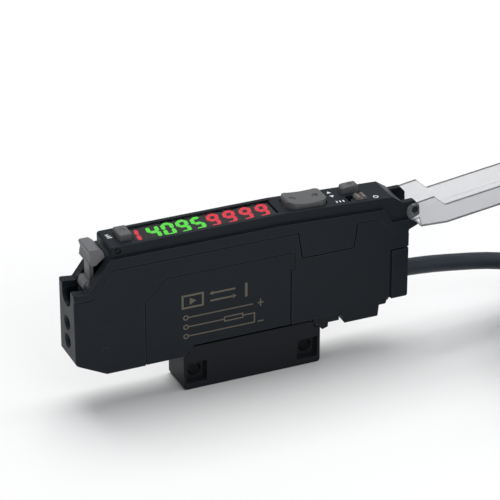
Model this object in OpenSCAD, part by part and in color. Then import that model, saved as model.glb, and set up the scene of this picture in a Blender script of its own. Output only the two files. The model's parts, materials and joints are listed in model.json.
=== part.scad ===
// Fibre optic sensor amplifier: a slim rail-mounted case with a digital display, three keys, a slide
// switch, a fibre lock lever, a swing-open dust cover, a cable and a clip-in mounting bracket.
// +X points to the cable end, +Y across the thickness, +Z up. The origin is the middle of the
// bracket's underside.

/* [Case] */
// Length of the case from the fibre end to the cable end
case_l = 79; // [77:0.5:84]
// Thickness of the case
case_t = 9.8; // [9.4:0.1:11]
// Thickness of the shell walls
wall = 1.1; // [0.9:0.05:1.3]
// Height of the lower shell from its underside to the seam
shell_h = 25; // [24:0.25:27]
// Height of the full-width band between the seam and the cover ledge
band_h = 2.4; // [2:0.1:3]
// Height of the cap above the cover ledge
cap_h = 2.6; // [2.3:0.1:3.2]
// Thickness of the cap's top plate
plate_t = 1; // [0.8:0.05:1.2]
// Rounding of the upright edges at the fibre end
end_r = 0.7; // [0.3:0.1:1.1]
// Slope of the key panel behind the display, in degrees
panel_tilt = 2.7; // [1.5:0.1:3.5]
// Height of the block at the cable end
end_block_h = 12.4; // [11:0.1:13]
// Length of the block at the cable end
end_block_l = 4.6; // [4:0.1:5]

/* [Fibre end] */
// Length of the open cheeks in front of the cap
cheek_l = 8.6; // [8.3:0.1:9.6]
// Width of the slot between the cheeks
lever_slot = 5.2; // [4.6:0.1:5.6]
// Diameter of the two fibre bores
fibre_d = 2.3; // [1.4:0.1:2.6]
// Distance between the two fibre bores
fibre_pitch = 4.4; // [3.9:0.1:4.8]
// Height of the lower fibre bore above the case's underside
fibre_h = 7.4; // [7:0.1:8]
// Diameter of the funnel at the mouth of each fibre bore
funnel_d = 3.7; // [2.8:0.1:3.8]
// Height of the lever's tab above its pivot
lever_h = 8.9; // [8:0.1:9.5]
// Width of the lever's stem
stem_w = 3; // [2.4:0.1:3.4]
// Thickness of the lever's stem
stem_t = 0.95; // [0.8:0.05:1.1]
// Height of the lever's tab
tab_h = 3.6; // [3.2:0.1:4]
// Reach of the lever's tab behind its pivot
tab_reach = 3.1; // [2.6:0.1:3.3]
// Reach of the lever's tab in front of its pivot
tab_lead = 0.5; // [0.5:0.1:1]
// Width of the lever's tab
tab_w = 6.2; // [5:0.1:7]
// Throw of the lever's cam
cam_throw = 0.35; // [0.2:0.05:0.4]
// Depth of the funnel at the mouth of each fibre bore
funnel_l = 0.6; // [0.4:0.05:0.8]

/* [Display] */
// Length of the sloping key panel between the display and the hinge end
panel_l = 26.6; // [25.5:0.1:28]
// Width of the display window
display_w = 6.6; // [6.2:0.1:6.8]
// Thickness of the display window
window_t = 0.25; // [0.2:0.05:0.3]
// Depth of the display window below the cap's top
window_sink = 0.35; // [0.25:0.05:0.45]
// Height of a numeral
digit_h = 5.7; // [4.6:0.1:5.8]
// Width of a lit segment
segment_w = 0.86; // [0.5:0.02:0.9]

/* [Keys] */
// Length of the set key along the case
set_l = 2.9; // [2.5:0.1:3.2]
// Width of the set key across the case
set_w = 4.5; // [4:0.1:5]
// Height of the set key above the cap
set_up = 1.5; // [1:0.1:1.7]
// Length of the rocker key
rocker_l = 9.6; // [8:0.1:10]
// Width of the rocker key
rocker_w = 6.2; // [5:0.1:6.3]
// Height of the rocker key's ends above the cap
rocker_up = 1.6; // [1.2:0.1:1.7]
// Rocking angle of the rocker key each way, in degrees
rocker_tilt = 2.5; // [2:0.1:3]
// Length of the mode key along the case
mode_l = 4.1; // [3.6:0.1:4.4]
// Width of the mode key across the case
mode_w = 2.4; // [2:0.1:2.6]
// Height of the mode key's low end above the cap
mode_up = 1.3; // [1:0.1:1.5]
// Length of the slide switch knob
knob_l = 2.5; // [2:0.1:2.8]
// Width of the slide switch knob
knob_w = 2.4; // [2:0.1:2.6]
// Travel of the slide switch knob
knob_travel = 1.9; // [1.5:0.1:2.1]
// Travel of a pressed key
key_travel = 0.4; // [0.3:0.05:0.5]
// Clearance round a key in its opening
key_gap = 0.15; // [0.1:0.05:0.2]

/* [Dust cover] */
// Thickness of the cover's side walls
cover_wall = 0.6; // [0.5:0.05:0.7]
// Thickness of the cover's top
cover_web = 0.8; // [0.6:0.05:0.9]
// Clearance between the cover's walls and the cap
cover_gap = 0.1; // [0.08:0.01:0.15]
// Height of the closed cover above the cap
cover_lift = 2.85; // [2.7:0.05:3.2]
// Rounding along the cover's top edges
cover_r = 1.2; // [0.8:0.1:1.6]
// Swing of the cover from closed to open, in degrees
cover_swing = 170; // [160:1:172]
// Diameter of the hinge pins
pin_d = 1.6; // [1.4:0.1:1.8]
// Radial clearance of the pins, trunnions and sliding fits
run_gap = 0.05; // [0.03:0.01:0.08]

/* [Bracket] */
// Distance from the fibre end to the bracket
foot_x = 25; // [23:0.5:27]
// Length of the bracket
foot_l = 32.8; // [31:0.1:35]
// Height of the bracket below the case
foot_h = 8.5; // [8:0.1:10]
// Thickness of the bracket
foot_t = 8.8; // [8:0.1:9.4]
// Height of the bracket's tongue in the rail slot
tongue_h = 2; // [1.8:0.05:2.2]
// Diameter of the bracket's screw holes
hole_d = 3.2; // [2.6:0.1:3.4]
// Distance between the bracket's screw holes
hole_spacing = 26.6; // [25:0.1:27]
// Height of the screw holes above the bracket's underside
hole_z = 4; // [3.6:0.1:4.4]
// Travel of the sprung rail claw
claw_travel = 0.6; // [0.4:0.05:0.7]

/* [Cable] */
// Diameter of the cable
cable_d = 4; // [3.5:0.1:4.2]
// Height of the cable's exit above the case's underside
cable_h = 7.9; // [7.6:0.1:8.4]

/* [Hidden] */
$fn = 48;

// Colours
black_abs = [0.13, 0.135, 0.15];
panel_grey = [0.2, 0.21, 0.23];
key_grey = [0.46, 0.46, 0.47];
lever_grey = [0.42, 0.42, 0.43];
board_green = [0.1, 0.32, 0.16];
part_white = [0.86, 0.86, 0.84];
pin_metal = [0.75, 0.74, 0.7];
smoke = [0.8, 0.81, 0.84, 0.5];
lit_green = [0.36, 0.95, 0.3];
lit_red = [0.96, 0.25, 0.33];
cable_black = [0.09, 0.09, 0.1];

// Levels, measured up from the bracket's underside
seat_gap = 0.2;
base_z = foot_h + seat_gap;
seam_z = base_z + shell_h;
ledge_z = seam_z + band_h;
cap_z = ledge_z + cap_h;
cheek_seam_z = seam_z - 6.2;
tail_seam_z = seam_z - 5.3;
tongue_gap = 0.35;
slot_z = foot_h + tongue_h + tongue_gap;
floor_z = slot_z + 2.35;
fibre_z = [base_z + fibre_h, base_z + fibre_h + fibre_pitch];

// Stations along the case, measured from the fibre end
foot_end = foot_x + foot_l;
foot_mid = foot_x + foot_l / 2;
cap_end = case_l - 4;
tail_run = 7.4;
tail_x = case_l - tail_run;
display_x = cheek_l + 6.7;
kink_x = cap_end - panel_l;
display_l = kink_x - display_x;
rocker_x = kink_x + 7;
mode_run = 18.7;
mode_x = kink_x + mode_run;
set_x = cheek_l + 4.5;

// Widths
cap_t = case_t - 2 * (cover_wall + cover_gap);
case_in = case_t - 2 * wall;
cap_wall = 0.9;
cap_r = 0.7;
cap_in = cap_t - 2 * cap_wall;

// Panel surface and ledge, which fall towards the hinge behind the display
function panel_z(x) = cap_z - max(0, x - kink_x) * tan(panel_tilt);
function ledge(x) = panel_z(x) - cap_h;
hinge_x = case_l + 1.4;
hinge_z = panel_z(cap_end) - 3.85;
step_z = hinge_z - 2.15;
pin_r = pin_d / 2;
ear_t = 1.3;

// Outline helpers: a point is [x, z] or [x, z, corner radius]
function unit(v) = v / norm(v);
function flat(p) = [p[0], p[1]];
function corner(p, c, q, r, n) = r <= 0 ? [c] :
    let (u = unit(p - c), v = unit(q - c), half = acos(u * v) / 2, d = r / tan(half),
         m = c + unit(u + v) * r / sin(half), s = c + u * d - m, e = c + v * d - m,
         a = atan2(s[1], s[0]), turn = atan2(e[1], e[0]) - a,
         sweep = turn > 180 ? turn - 360 : turn < -180 ? turn + 360 : turn)
    [for (i = [0 : n]) m + r * [cos(a + sweep * i / n), sin(a + sweep * i / n)]];
function outline(pts) = let (n = len(pts)) [for (i = [0 : n - 1])
    each corner(flat(pts[(i + n - 1) % n]), flat(pts[i]), flat(pts[(i + 1) % n]),
                len(pts[i]) > 2 ? pts[i][2] : 0, 4)];

// Moves case coordinates, measured from the fibre end, to the part's own frame
module in_frame() translate([-foot_mid, 0, 0]) children();

// A side outline given thickness t, centred at y
module slab(pts, t, y = 0) translate([0, y + t / 2, 0]) rotate([90, 0, 0])
    linear_extrude(t) polygon(outline(pts));

// A round bar across the case
module bar(x, z, r, t, y = 0) translate([x, y + t / 2, z]) rotate([90, 0, 0]) cylinder(r = r, h = t);

// A round bar along the case
module rod(x, y, z, r, l) translate([x, y, z]) rotate([0, 90, 0]) cylinder(r = r, h = l);

// A block from its lowest corner to its highest corner
module block(a, b) translate(a) cube(b - a);

// A solid through a row of rings, each with the same number of corners
module sweep(rings) {
    m = len(rings[0]);
    n = len(rings);
    polyhedron([for (r = rings) each r], [[for (k = [m - 1 : -1 : 0]) k],
        for (i = [0 : n - 2], k = [0 : m - 1]) let (q = (k + 1) % m)
            [i * m + k, i * m + q, i * m + m + q, i * m + m + k],
        [for (k = [0 : m - 1]) (n - 1) * m + k]]);
}

// An upright prism whose edges at x0 are rounded
module round_front(x0, t, r) linear_extrude(2 * cap_z) {
    translate([x0 + r, -t / 2]) square([2 * case_l, t]);
    translate([x0, r - t / 2]) square([2 * case_l, t - 2 * r]);
    for (s = [-1, 1]) translate([x0 + r, s * (t / 2 - r)]) circle(r);
}

// An upright prism with four rounded edges, centred at x, y
module rounded_prism(x, y, l, w, r, z0, z1) translate([x, y, z0]) linear_extrude(z1 - z0) {
    square([l - 2 * r, w], center = true);
    square([l, w - 2 * r], center = true);
    for (i = [-1, 1], j = [-1, 1]) translate([i * (l / 2 - r), j * (w / 2 - r)]) circle(r);
}

// Places children on the sloping panel at station x, with z measured from the panel's surface
module on_panel(x) translate([x, 0, panel_z(x)]) rotate([0, x > kink_x ? panel_tilt : 0, 0]) children();

// Seam between the two shells, from the cable end to the fibre end
seam_pts = [[case_l, tail_seam_z], [case_l - 3.4, tail_seam_z + 0.1, 0.8], [tail_x, seam_z - 0.6, 1],
    [kink_x, seam_z], [cheek_l + 0.1, seam_z, 0.8], [cheek_l - 4.3, cheek_seam_z, 0.5], [0, cheek_seam_z]];
seam_back = [for (i = [len(seam_pts) - 1 : -1 : 0]) seam_pts[i]];

// Snap tab of the upper case in the notch of the lower case
snap_x = kink_x + 3.7;
snap_l = 14.4;
snap_h = 6.4;
snap_slant = 1.1;
snap_gap = 0.25;

// Shallow side panel and the fine line round it
panel_x = 16;
panel_d = 0.22;
panel_top = seam_z - 4.6;
panel_rise = 15.3;
panel_bend = base_z + panel_rise;
panel_slant = 5.2;
panel_jog = panel_top - 4.6;
line_w = 0.3;
line_d = 0.45;
function panel_pts(c) = [[panel_x + c, 0], [panel_x + c, panel_bend - 0.42 * c, 0.5],
    [panel_x + panel_slant + 0.41 * c, panel_top - c, 0.5], [snap_x - 0.5 - c, panel_top - c, 0.3],
    [snap_x - 0.5 - c, panel_jog + c], [snap_x - 1.5 - c, panel_jog + c], [snap_x - 1.5 - c, 0]];
function snap_pts(c) = [[snap_x - c, seam_z + 0.8], [snap_x + snap_slant - c, seam_z - snap_h - c],
    [snap_x + snap_l - snap_slant + c, seam_z - snap_h - c], [snap_x + snap_l + c, seam_z + 0.8]];

// Rail slot, bracket flanks and claw
flank_run = 2.4;
function flank(z) = flank_run * (z - foot_h) / (slot_z - foot_h);
flank_gap = 0.15;
groove_dz = 0.9;
groove_r = 0.55;
ridge_r = 0.4;
groove_dx = flank(foot_h + groove_dz);
claw_top = slot_z + 0.35;
claw_arm_z = base_z + 0.95;
claw_end = foot_end + 4.4;
claw_room = claw_end + claw_travel + 0.1;
rail_neck = 1.6;
tail_l = 1;
tail_w = 6;
tail_z = claw_arm_z + 0.1;
rail_head = 3.2;
foot_r = 0.8;
pocket = [5, 5.1, 1.5];
pocket_taper = 0.8;

// Closed cover: stations and levels of its three stretches
cover_end = cheek_l + 0.7;
cover_knee = case_l - 5.8;
knee_z = panel_z(cover_knee) + cover_lift;
mouth_x = hinge_x - 1.2;
mouth_z = knee_z - 1.35;
edge_gap = 0.35;
knuckle_r = 2;
knuckle_dz = 0.6;

// Cross-section of the cover's outside as [y, z], with the top at z = 0
bar_h = 2 * case_l;
cover_half = case_t / 2;
cover_section = outline([[-cover_half, -bar_h], [-cover_half, 0, cover_r], [cover_half, 0, cover_r],
    [cover_half, -bar_h]]);
cover_fall = (knee_z - mouth_z) / (mouth_x - cover_knee);

// Latch nub of the closed cover
latch_x = cheek_l + 1.8;
latch_z = cap_z - 1.1;
nub_r = 0.4;
ring_r = 0.85;
ring_d = 0.4;

// Lever pivot and cam
lever_x = 4.7;
lever_z = cheek_seam_z + 1.95;
trunnion_r = 0.9;
trunnion_y = 3.7;
cam_r = 1.45;
cam_w = 3.4;
clamp_gap = 0.15;
clamp_l = 2.4;
clamp_w = 5;
clamp_tail = 2.5;
slot_gap = 0.1;
rib_r = 0.5;
rib_inset = 0.4;
clamp_z = lever_z - cam_r - cam_throw - clamp_gap;
clamp_drop = 0.25;

// Fibre holder
holder_x = wall + 0.1;
holder_l = 18.4;
holder_top = cheek_seam_z - 3.4;
holder_w = case_in - 0.1;
bore_l = 14;
device_x = holder_x + bore_l;
device_l = 2.4;
device_w = 4;

// Boards and display
board_x = holder_x + holder_l + 1;
board_t = 1;
board_z = seam_z - 0.4;
board_y = 1.5;
module_x = display_x + 0.25;
module_l = display_l - 0.5;
module_w = display_w - 0.2;
well_rim = 0.15;
window_top = cap_z - window_sink;
window_z = window_top - window_t;
sink_run = 0.7;
window_end = kink_x - 0.6;
digit_t = 0.14;
digit_z = window_z - digit_t - 0.03;
green_lean = 6;
red_lean = 10;
digit_cell = display_l / 9.68;
digit_w = 0.82 * digit_cell;
green_pitch = digit_cell;
red_pitch = 1.12 * digit_cell;
one_x = display_x - 0.26 * digit_cell;
green_x = display_x + 1.1 * digit_cell;
red_x = display_x + 5.1 * digit_cell;
key_flange = 0.45;
flange_t = 0.7;
under_gap = 0.08;
key_edge = 0.5;
key_r = 0.6;
mode_rise = 0.6;
mode_edge = 0.75;
press_gap = 0.05;
set_foot_z = cap_z - plate_t - under_gap - flange_t;
mode_foot_z = panel_z(mode_x) - plate_t - under_gap - flange_t - 0.15;

// Rocker: plan corners, hollow of the top and pivot
rocker_r = 2.2;
rocker_edge = 0.9;
hollow_r = 20;
hollow_d = 0.6;
dimple_r = 0.85;
rocker_pin_r = 0.6;
rocker_pivot_z = panel_z(rocker_x) - plate_t - rocker_pin_r - 0.35;
rocker_foot_z = rocker_pivot_z - 0.7;

// Slide switch
slot_y = -1.85;
slot_l = knob_l + knob_travel + 2 * key_gap;
slot_x = mode_x + 0.2;
knob_x = slot_x + (slot_l - knob_l) / 2 - key_gap;
mode_y = 1.85;
knob_up = 0.05;
ridge_up = 0.5;

// Cable end
cable_z = base_z + cable_h;
bush_r = 2.9;
bush_lip = 0.3;
block_x = case_l - end_block_l;
block_z = base_z + 3.6;
block_gap = 0.12;
block_top = block_z + end_block_h;
rebate = 0.6;
tenon = [1, 5, 8];

// Cord route: each step is [distance past the case's end, y, share of the exit height], down to the
// floor and in a narrowing curve into the coil
cord_steps = [[-5.2, 0, 1], [-2, 0, 1], [2.4, 0, 1], [8.4, 0, 0.966], [15.4, 0, 0.9], [22.4, 0, 0.82],
    [29.4, -0.2, 0.7], [36.4, -0.6, 0.53], [43.4, -1.2, 0.37], [52.8, -2.8, 0.17], [60.8, -6.2, 0.05],
    [67.5, -11.4, 0.01], [72.4, -18.2, 0], [74.8, -25.8, 0.015], [75.2, -32, 0.035], [74.9, -36, 0.041]];
cord_x = case_l - foot_mid;
floor_r = cable_d / 2;
cord_route = [for (s = cord_steps) [cord_x + s[0], s[1], floor_r + s[2] * (cable_z - floor_r)]];
coil_reach = 46.4;
coil_side = 36;
coil_at = [cord_x + coil_reach, -coil_side];
coil_in = 14.5;
coil_turns = 4;
coil_layers = 3;
top_turns = 3;
tie_angle = 13;
tie_t = 0.6;
tie_turn = 200;
coil_out = coil_in + coil_turns * cable_d;
coil_top = tie_t + (coil_layers + 1) * cable_d;
shelf_z = tie_t + coil_layers * cable_d;
shelf_r = coil_in + top_turns * cable_d;
core_r = 0.6;
sides = 12;
core_turn = [60, 150];

module lower_case() color(black_abs) in_frame() difference() {
    intersection() {
        slab(concat([[0, base_z + 3.5, 0.8], [7, base_z, 1.2], [case_l - 7.3, base_z, 0.3],
            [case_l - 7, base_z + 2.7], [case_l - 5.4, base_z + 2.7, 0.4], [case_l - 5.1, block_z],
            [case_l, block_z]], seam_pts), case_t);
        round_front(0, case_t, end_r);
    }
    // Inside, open at the seam
    block([wall, -case_in / 2, floor_z], [block_x - wall, case_in / 2, 2 * cap_z]);
    // Seam groove along both faces
    for (s = [-1, 1]) translate([0, 0, -0.3]) slab(concat(seam_back, [for (p = seam_pts) [p[0], p[1] + 2]]),
        0.4, s * case_t / 2);
    // Notches for the snap tabs
    for (s = [-1, 1]) slab(snap_pts(snap_gap), 2 * wall, s * case_t / 2);
    // Shallow panel on both faces, open at the underside
    for (s = [-1, 1]) slab(panel_pts(0), 2 * panel_d, s * case_t / 2);
    for (s = [-1, 1]) difference() {
        slab(panel_pts(0), 2 * line_d, s * case_t / 2);
        slab(panel_pts(line_w), 4 * line_d, s * case_t / 2);
        block([snap_x - 1.4, -case_t, 0], [case_l, case_t, cap_z]);
    }
    // Fibre holes and the notch for the lever
    for (z = fibre_z) {
        rod(-1, 0, z, fibre_d / 2, wall + 2);
        translate([0, 0, z]) rotate([0, 90, 0]) cylinder(r1 = funnel_d / 2, r2 = fibre_d / 2, h = funnel_l);
    }
    rod(-1, 0, cheek_seam_z - 0.3, lever_slot / 2, wall + 2);
    block([-1, -lever_slot / 2, cheek_seam_z - 0.3], [wall + 1, lever_slot / 2, 2 * cap_z]);
    // Rail slot, with a fixed ridge on its left flank left standing below
    difference() {
        slab([[foot_x - flank_gap, 0], [foot_x - flank_gap, foot_h], [foot_x + flank_run - flank_gap, slot_z],
            [foot_end - flank_run + flank_gap, slot_z], [foot_end + flank_gap, foot_h],
            [foot_end + flank_gap, 0]], 2 * case_t);
        bar(foot_x + groove_dx - flank_gap, foot_h + groove_dz, ridge_r, foot_t);
    }
    // Groove along the slot's top edge on both faces
    for (s = [-1, 1]) slab([[foot_x + flank_run, slot_z - 1], [foot_x + flank_run, slot_z + 0.3],
        [foot_end - flank_run, slot_z + 0.3], [foot_end - flank_run, slot_z - 1]], 2 * wall, s * case_t / 2);
    // Room for the claw, its tail and its rail
    slab([[foot_end - flank_run + flank_gap, slot_z - 0.5],
        [foot_end - flank_run + flank_gap, claw_top + 0.1], [claw_room, claw_top + 0.1],
        [claw_room, base_z + 1], [claw_room + 0.7, base_z - 0.1],
        [claw_room + 0.7, 0], [foot_end, 0]], 2 * case_t);
    block([claw_end, -tail_w / 2 - 0.1, tail_z - 0.1],
        [claw_end + tail_l + claw_travel + 0.1, tail_w / 2 + 0.1, claw_top + 0.1]);
    block([foot_end - 0.6, -rail_neck / 2 - 0.1, claw_top],
        [foot_end + 3.7 + claw_travel, rail_neck / 2 + 0.1, claw_top + 1]);
    block([foot_end - 0.6, -rail_head / 2 - 0.1, claw_top + 0.65],
        [foot_end + 3.7 + claw_travel, rail_head / 2 + 0.1, claw_top + 1.35]);
    // Seat of the end block, its tenon and the cable
    block([block_x - block_gap, -case_t, block_z - 1], [2 * case_l, case_t, block_top + block_gap]);
    block([block_x - 2 * wall, -tenon[1] / 2 - run_gap, cable_z - tenon[2] / 2 - run_gap],
        [block_x, tenon[1] / 2 + run_gap, cable_z + tenon[2] / 2 + run_gap]);
}

module upper_case() color(black_abs) in_frame() difference() {
    union() {
        // Cheeks and band, as thick as the case
        intersection() {
            slab(concat([[0, cheek_seam_z + 1.8, 0.4], [3.1, cheek_seam_z + 1.4, 0.5],
                [cheek_l - 0.1, ledge_z], [kink_x, ledge_z], [case_l - 6.3, ledge(case_l - 6.3)],
                [case_l - 4.2, step_z, 0.4],
                [case_l, step_z]], seam_pts), case_t);
            round_front(0, case_t, end_r);
        }
        // Cap, key panel and the nose under the hinge
        intersection() {
            slab([[cheek_l, seam_z], [cheek_l, cap_z, cap_r], [kink_x, cap_z],
                [cap_end, panel_z(cap_end), 0.3], [case_l - 1.6, panel_z(cap_end) - 1.65],
                [case_l - 1.6, step_z], [case_l + 0.4, step_z - 0.2], [hinge_x + 1.4, hinge_z - 4.1, 0.3],
                [case_l + 0.1, tail_seam_z], [case_l - 2, tail_seam_z + 0.5], [tail_x + 1, seam_z - 1],
                [tail_x, seam_z]], cap_t);
            round_front(cheek_l, cap_t, cap_r);
        }
        for (s = [-1, 1]) {
            slab(snap_pts(0), wall, s * (case_t - wall) / 2);
            // Hinge ear and pin
            slab([[case_l - 2, hinge_z + 1.9], [hinge_x + 0.1, hinge_z + 1.95, 0.4],
                [hinge_x + 1.2, hinge_z + 0.7, 0.3], [hinge_x + 1.3, hinge_z - 1.6, 0.3],
                [hinge_x - 0.4, step_z - 0.2], [case_l - 2, step_z - 0.2]], ear_t, s * (cap_t - ear_t) / 2);
            bar(hinge_x, hinge_z, pin_r, case_t / 2 - 3.5 - run_gap, s * (case_t / 2 + 3.5 - run_gap) / 2);
            // Latch nub
            translate([latch_x, s * (cap_t / 2 - 0.2), latch_z]) sphere(nub_r);
        }
    }
    // Inside, open at the seam
    slab([[cheek_l + 1, 0], [cheek_l + 1, cap_z - plate_t], [kink_x, cap_z - plate_t],
        [cap_end - 1.2, panel_z(cap_end - 1.2) - plate_t], [cap_end - 1.2, 0]], cap_in);
    // Lever slot and the blind bores of its trunnions
    block([-1, -lever_slot / 2, 0], [cheek_l, lever_slot / 2, 2 * cap_z]);
    bar(lever_x, lever_z, trunnion_r + run_gap, 2 * (trunnion_y + 0.1));
    // Ring round each latch nub
    for (s = [-1, 1]) difference() {
        bar(latch_x, latch_z, ring_r, 2 * ring_d, s * cap_t / 2);
        bar(latch_x, latch_z, nub_r, cap_t, s * cap_t / 2);
    }
    // Window and key openings
    block([display_x, -display_w / 2, seam_z + 1], [kink_x, display_w / 2, 2 * cap_z]);
    slab([[kink_x - sink_run, window_top], [kink_x, window_top], [kink_x + 2 * sink_run, cap_z + window_sink],
        [kink_x - sink_run, cap_z + window_sink]], display_w);
    rounded_prism(set_x, 0, set_l + 2 * key_gap, set_w + 2 * key_gap, key_r, cap_z - 2, cap_z + 1);
    on_panel(rocker_x)
        rounded_prism(0, 0, rocker_l + 0.6, rocker_w + 2 * key_gap, rocker_r, -plate_t - 0.3, 1);
    on_panel(mode_x)
        rounded_prism(0, mode_y, mode_l + 2 * key_gap, mode_w + 2 * key_gap, key_r, -plate_t - 0.3, 1);
    on_panel(slot_x) rounded_prism(0, slot_y, slot_l, knob_w + 2 * key_gap, 0.3, -plate_t - 0.3, 1);
    // Blind bores of the rocker's trunnions
    bar(rocker_x, rocker_pivot_z, rocker_pin_r + run_gap, cap_in + 0.9);
}

module end_block() color(black_abs) in_frame() difference() {
    union() {
        slab([[block_x, block_z], [case_l, block_z, 0.5], [case_l, block_top, 0.3], [block_x, block_top]],
            case_t);
        block([block_x - tenon[0], -tenon[1] / 2, cable_z - tenon[2] / 2], [block_x + 1, tenon[1] / 2,
            cable_z + tenon[2] / 2]);
    }
    // Rebate that leaves a groove round the block on both faces
    for (s = [-1, 1]) slab([[block_x - 1, 0], [block_x + rebate, 0],
        [block_x + rebate, block_top - rebate / 2], [2 * case_l, block_top - rebate / 2],
        [2 * case_l, 2 * cap_z], [block_x - 1, 2 * cap_z]], 2 * rebate, s * case_t / 2);
    // Seat of the bush, and the hole for the cable behind it
    rod(block_x + 1, 0, cable_z, bush_r + 0.02, 2 * case_l);
    rod(block_x - 5, 0, cable_z, cable_d / 2 + 0.15, 10);
}

module mounting_bracket() color(black_abs) in_frame() difference() {
    top = foot_h + tongue_h;
    slab([[foot_x, 0, foot_r], [foot_end, 0, foot_r], [foot_end, foot_h], [foot_end - flank(top), top, 0.2],
        [foot_x + flank(top), top, 0.2], [foot_x, foot_h]], foot_t);
    // Grooves that the claw and the fixed ridge hold
    for (x = [foot_x + groove_dx, foot_end - groove_dx]) bar(x, foot_h + groove_dz, groove_r, 2 * foot_t);
    // Screw holes at the bottom of tapered pockets
    for (i = [-1, 1]) {
        bar(foot_mid + i * hole_spacing / 2, hole_z, hole_d / 2, 2 * foot_t);
        for (s = [-1, 1]) translate([foot_mid + i * hole_spacing / 2, s * foot_t / 2, hole_z])
            rotate([90 * s, 0, 0]) linear_extrude(pocket[2], scale = pocket_taper)
                square([pocket[0], pocket[1]], center = true);
    }
}

module rail_claw() color(black_abs) in_frame() {
    shift = 0.1;
    slab([[foot_end + shift + 0.3, base_z - 0.5], [foot_end - flank(claw_top - 0.8) + shift, claw_top - 0.8],
        [foot_end - flank(claw_top - 0.8) + shift, claw_top], [claw_end, claw_top], [claw_end, claw_arm_z],
        [foot_end + 1.8, claw_arm_z], [foot_end + 1.7, base_z - 0.1]], case_t - 0.2);
    bar(foot_end - groove_dx + shift, foot_h + groove_dz, ridge_r, foot_t);
    // Tail that closes the gap behind the claw
    block([claw_end - 0.5, -tail_w / 2, tail_z], [claw_end + tail_l, tail_w / 2, claw_top]);
    // Headed rail that slides in the case
    block([foot_end - 0.5, -rail_neck / 2, claw_top - 0.1], [foot_end + 3.6, rail_neck / 2, claw_top + 1]);
    block([foot_end - 0.5, -rail_head / 2, claw_top + 0.75],
        [foot_end + 3.6, rail_head / 2, claw_top + 1.25]);
}

// A long bar under a plane that falls by tilt from the point x, z
module cover_bar(x, z, tilt) translate([x, 0, z]) rotate([0, tilt, 0]) translate([-bar_h, 0, 0])
    rotate([90, 0, 90]) linear_extrude(2 * bar_h) polygon(cover_section);

// Closed cover: a channel in three stretches, cut to its side outline
module closed_cover() difference() {
    intersection() {
        cover_bar(kink_x, cap_z + cover_lift, 0);
        cover_bar(kink_x, cap_z + cover_lift, panel_tilt);
        cover_bar(cover_knee, knee_z, atan(cover_fall));
        union() {
            slab([[cover_end, ledge_z + edge_gap, 0.5], [cover_end, 2 * cap_z], [mouth_x, 2 * cap_z],
                [mouth_x, mouth_z + 1], [mouth_x + 0.45, hinge_z + 2.3], [hinge_x + 0.5, hinge_z],
                [hinge_x - 0.8, hinge_z - 1.3],
                [case_l - 3.7, hinge_z - 1.2, 0.3], [case_l - 6, ledge(case_l - 6) + edge_gap, 0.4],
                [kink_x, ledge_z + edge_gap]], 2 * case_t);
            bar(hinge_x, hinge_z + knuckle_dz, knuckle_r, 2 * case_t);
        }
    }
    // Inside, under the web
    translate([0, 0, -cover_web]) slab([[0, 0], [0, cap_z + cover_lift], [kink_x, cap_z + cover_lift],
        [cover_knee, knee_z], [hinge_x + 3, knee_z - cover_fall * (hinge_x + 3 - cover_knee)],
        [hinge_x + 3, 0]], case_t - 2 * cover_wall);
    // Hinge bores, and a groove in each wall that passes the latch nub
    bar(hinge_x, hinge_z, pin_r + run_gap, 2 * case_t);
    for (s = [-1, 1]) block([latch_x - 0.7, s > 0 ? 0 : -cap_t / 2 - 0.35, 0],
        [latch_x + 0.7, s > 0 ? cap_t / 2 + 0.35 : 0, latch_z + 0.7]);
}

module dust_cover() color(smoke) in_frame()
    translate([hinge_x, 0, hinge_z]) rotate([0, cover_swing, 0]) translate([-hinge_x, 0, -hinge_z])
        closed_cover();

module fibre_lock_lever() color(lever_grey) in_frame() {
    top = lever_z + lever_h;
    lip = lever_x - tab_lead;
    front = lever_x + 0.1;
    back = front + stem_t;
    low = top - tab_h;
    // Stem, set back under the tab
    slab([[front, lever_z], [front, low + 0.3 * tab_h], [back, low + 0.3 * tab_h], [back, lever_z]], stem_w);
    // Tab, with a finger groove between its lip and a rib on its outer side
    slab([[front, low - 0.2], [lip + 0.1, low + 0.2 * tab_h, 0.3], [lip + 0.35, low + 0.55 * tab_h, 0.8],
        [lip, top - 0.1 * tab_h, 0.25], [lip + 0.2, top, 0.2], [lever_x + 0.55 * tab_reach, top, 0.5],
        [lever_x + 0.9 * tab_reach, top - 0.25 * tab_h, 0.3], [lever_x + tab_reach, top - 0.6 * tab_h, 0.3],
        [back, low - 0.2]], tab_w);
    bar(lip + 0.4, low + 0.12 * tab_h, rib_r, tab_w - 2 * rib_inset);
    // Cam, set off centre below the pivot, and the trunnions
    bar(lever_x, lever_z - cam_throw, cam_r, cam_w);
    bar(lever_x, lever_z, trunnion_r, 2 * trunnion_y);
}

module fibre_clamp() color(panel_grey) in_frame() difference() {
    block([lever_x - clamp_l / 2, -clamp_w / 2, fibre_z[0] - clamp_tail],
        [lever_x + clamp_l / 2, clamp_w / 2, clamp_z]);
    for (z = fibre_z) rod(0, 0, z - clamp_drop, fibre_d / 2 + run_gap + clamp_drop, case_l);
}

module optical_block() color(panel_grey) in_frame() difference() {
    block([holder_x, -holder_w / 2, floor_z + 0.05], [holder_x + holder_l, holder_w / 2, holder_top]);
    for (z = fibre_z) {
        rod(0, 0, z, fibre_d / 2, device_x + 0.1);
        block([device_x, -device_w / 2, z - device_w / 2], [2 * case_l, device_w / 2, z + device_w / 2]);
    }
    // Slot in which the clamp plate slides
    block([lever_x - clamp_l / 2 - slot_gap, -clamp_w / 2 - slot_gap, fibre_z[0] - clamp_tail - slot_gap],
        [lever_x + clamp_l / 2 + slot_gap, clamp_w / 2 + slot_gap, 2 * cap_z]);
}

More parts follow.
